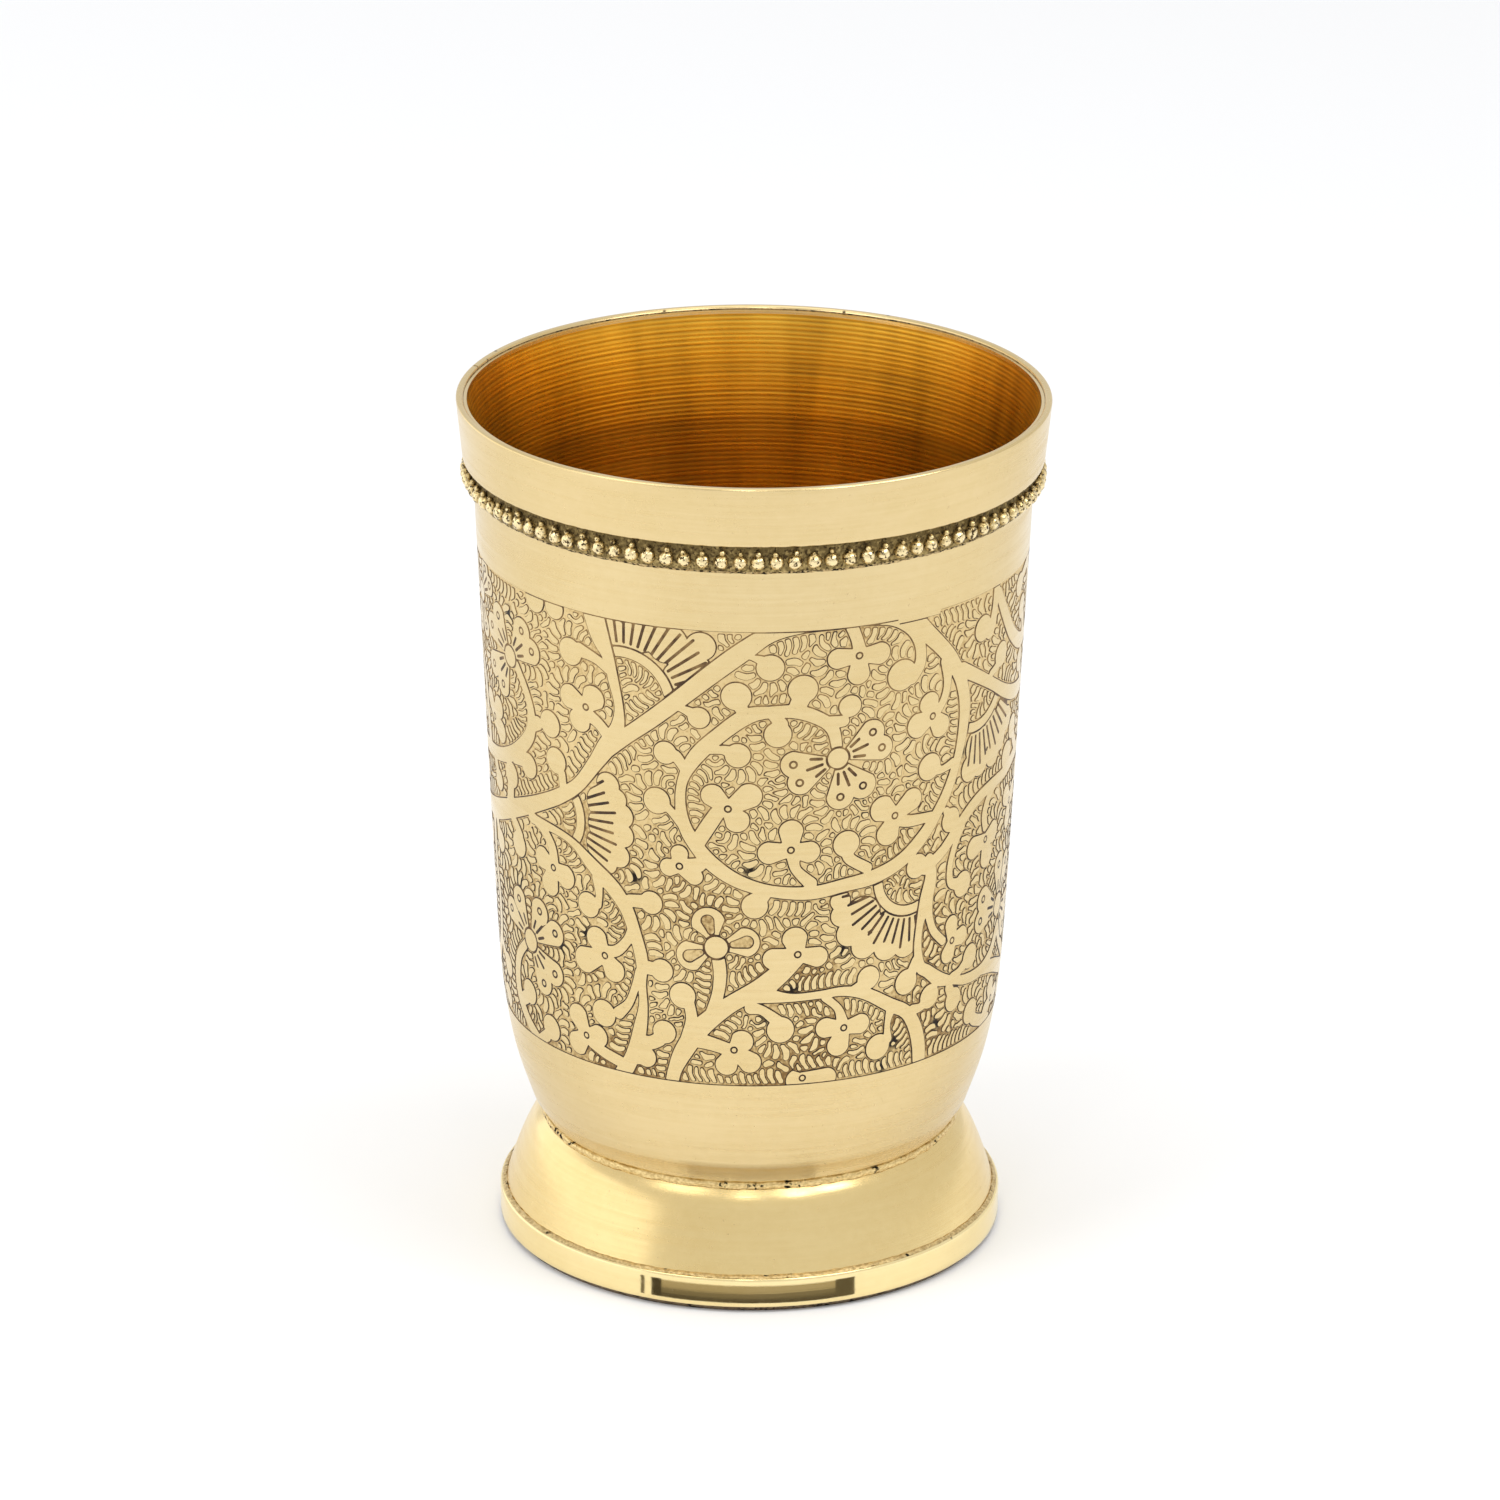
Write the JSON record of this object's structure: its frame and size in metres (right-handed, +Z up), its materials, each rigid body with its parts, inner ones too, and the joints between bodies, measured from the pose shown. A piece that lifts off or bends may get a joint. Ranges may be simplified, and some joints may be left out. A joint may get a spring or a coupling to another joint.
{
  "type": "engraved footed tumbler",
  "caption": "Footed brass tumbler with a flared plain rim band, a beaded strip below it and a scrolling flower engraving round the body.",
  "frame": {"origin": "centre of the flat ring the tumbler stands on", "axes": "+Z up along the tumbler's axis, out of its mouth; -Y the front; +X right"},
  "size_m": [0.075, 0.075, 0.112],
  "materials": {
    "polished_brass": "polished, with fine turning marks",
    "darkened_brass": "cast beads, bright on top and dark between",
    "solder": "rough brazed joint"
  },
  "bodies": {
    "root": {"cup_body": "polished_brass", "rim_band": "polished_brass", "rim_band_seam": "solder", "bead_strip": "darkened_brass", "bead_strip_solder": "solder", "foot_bell": "polished_brass", "neck_solder": "solder", "foot_band": "polished_brass", "foot_band_solder": "solder"}
  },
  "joints": []
}
